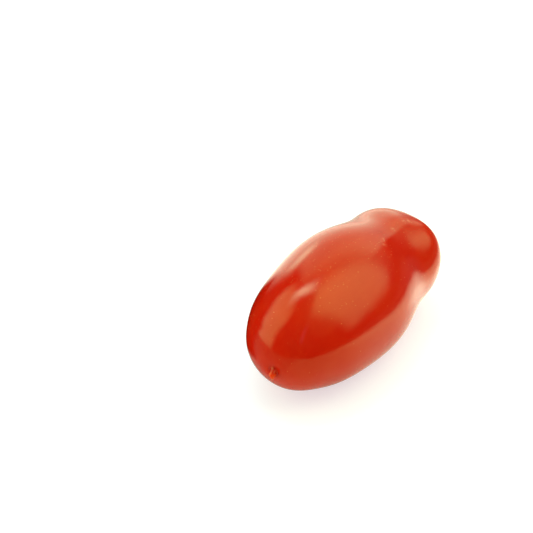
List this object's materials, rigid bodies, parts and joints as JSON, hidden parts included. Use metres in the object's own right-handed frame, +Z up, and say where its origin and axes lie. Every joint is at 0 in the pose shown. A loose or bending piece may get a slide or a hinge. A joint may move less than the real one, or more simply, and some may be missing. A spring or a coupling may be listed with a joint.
{
  "type": "plum tomato",
  "caption": "Ripe plum tomato, long and smooth with a gentle waist before the stem end, without its calyx, resting on its side on a small flat spot.",
  "frame": {"origin": "under the middle of the fruit's box, on the surface that the fruit rests on", "axes": "+Z up, +X along the fruit from the blossom end to the stem end"},
  "size_m": [0.0792, 0.0426, 0.0397],
  "materials": {
    "tomato_skin": "smooth waxy ripe-red skin with a sharp gloss, fine pale flecks and a corky stem scar"
  },
  "bodies": {
    "root": {"tomato": "tomato_skin"}
  },
  "joints": []
}
